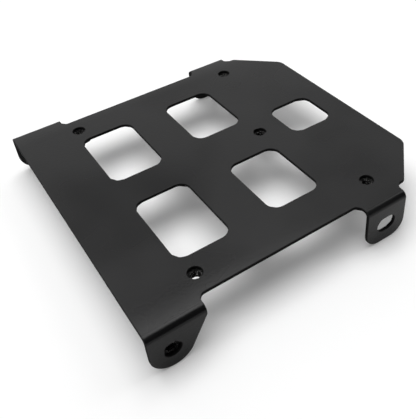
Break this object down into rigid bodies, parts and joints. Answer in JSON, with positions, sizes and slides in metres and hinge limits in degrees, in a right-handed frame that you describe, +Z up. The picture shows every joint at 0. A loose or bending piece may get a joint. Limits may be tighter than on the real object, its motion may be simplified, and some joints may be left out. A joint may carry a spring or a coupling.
{
  "type": "battery support plate",
  "caption": "Flat black sheet-metal plate with rounded windows and a chamfered end, folded down at both sides into mounting ears, with weld nuts under the plate and behind the rounded ears.",
  "frame": {"origin": "midway between the four ears, on the surface that their feet stand on", "axes": "+X along the plate towards its chamfered end, +Y across it, +Z up out of its flat face"},
  "size_m": [0.15, 0.15, 0.0215],
  "materials": {
    "powder_coat": "satin, fine grain",
    "coated_nut": "satin, thin in the threads"
  },
  "bodies": {
    "root": {"support_plate": "powder_coat", "plate_nut_left_near": "coated_nut", "plate_nut_left_far": "coated_nut", "plate_nut_right_near": "coated_nut", "plate_nut_right_far": "coated_nut", "plate_nut_centre": "coated_nut", "ear_nut_near": "coated_nut", "ear_nut_far": "coated_nut"}
  },
  "joints": []
}
